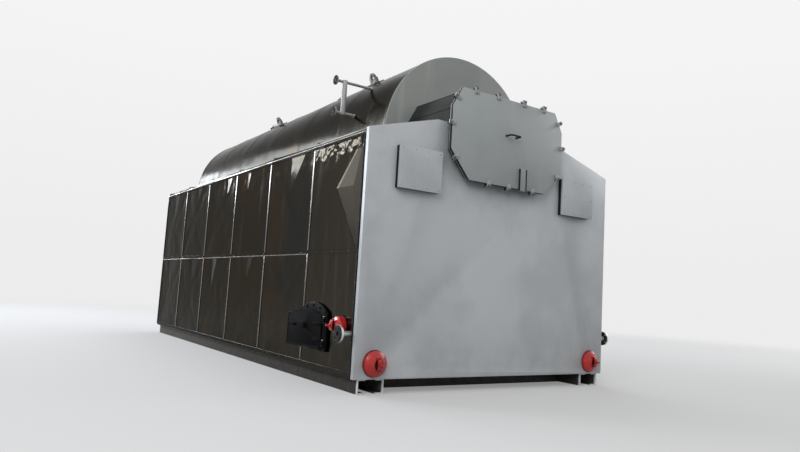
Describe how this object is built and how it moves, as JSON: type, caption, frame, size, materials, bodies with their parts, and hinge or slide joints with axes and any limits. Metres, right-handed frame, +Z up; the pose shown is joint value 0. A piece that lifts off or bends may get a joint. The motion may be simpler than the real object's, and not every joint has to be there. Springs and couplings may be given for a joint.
{
  "type": "packaged water-tube boiler",
  "caption": "Packaged industrial boiler block on skids: long clad drum over a panelled casing, gabled front with a clamped smoke-box cover, headers and a hinged fire door.",
  "frame": {"origin": "middle of the bounding box at ground level, under the skids", "axes": "+Z up, +Y from the front plate to the rear, along the drum; +X is on the right of someone who faces the front plate, so the fire door of the picture is on -X"},
  "size_m": [3.424, 7.123, 3.566],
  "materials": {
    "skid_paint": "matt black primer, dusty",
    "wall_lining": "rough insulated lining behind the sheets",
    "silver_paint": "semi-matt silver-grey paint",
    "side_cladding": "thin dark polished sheet, slightly wrinkled",
    "bright_trim": "bright polished strip",
    "drum_cladding": "thin dark polished sheet, slightly wrinkled",
    "header_red": "glossy red paint",
    "door_iron": "black, rough",
    "zinc_flange": "dull zinc",
    "lug_paint": "dark primer",
    "pipe_paint": "light grey primer"
  },
  "bodies": {
    "boiler": {"left_skid": "skid_paint", "right_skid": "skid_paint", "cross_beams": "skid_paint", "base_sill": "skid_paint", "left_wall_front": "wall_lining", "left_wall_rear": "wall_lining", "left_wall_lintel": "wall_lining", "left_wall_cill": "wall_lining", "right_wall": "wall_lining", "front_wall": "wall_lining", "front_plate": "silver_paint", "rear_wall": "wall_lining", "shoulder_roofs": "side_cladding", "left_upper_panels": "side_cladding", "left_lower_panels": "side_cladding", "right_upper_panels": "side_cladding", "right_lower_panels": "side_cladding", "left_column_trims": "bright_trim", "right_column_trims": "bright_trim", "left_rail_trims": "bright_trim", "right_rail_trims": "bright_trim", "drum_jacket": "drum_cladding", "drum_front_disc": "silver_paint", "drum_rear_disc": "silver_paint", "smoke_box_duct": "silver_paint", "smoke_box_flange": "silver_paint", "smoke_box_cover": "silver_paint", "cover_clamps": "pipe_paint", "cover_handle": "silver_paint", "cover_strap": "silver_paint", "hatch_frames": "silver_paint", "hatch_covers": "silver_paint", "lower_headers": "header_red", "cross_header": "header_red", "hand_hole_yokes": "header_red", "blowdown_nozzles": "zinc_flange", "fire_door_frame": "door_iron", "fire_door_pins": "door_iron", "right_door_frame": "door_iron", "right_door_leaf": "door_iron", "water_columns": "pipe_paint", "lifting_lugs": "lug_paint", "steam_outlet": "pipe_paint", "safety_nozzles": "pipe_paint", "manhole": "pipe_paint", "flue_outlet": "silver_paint"},
    "fire_door": {"fire_door_leaf": "door_iron"}
  },
  "joints": [
    {"name": "fire_door_hinge", "type": "hinge", "parent": "boiler", "child": "fire_door", "pos_m": [-1.591, -2.8725, 0.472], "axis": [0, 0, 1], "range_deg": [-12, 100]}
  ]
}
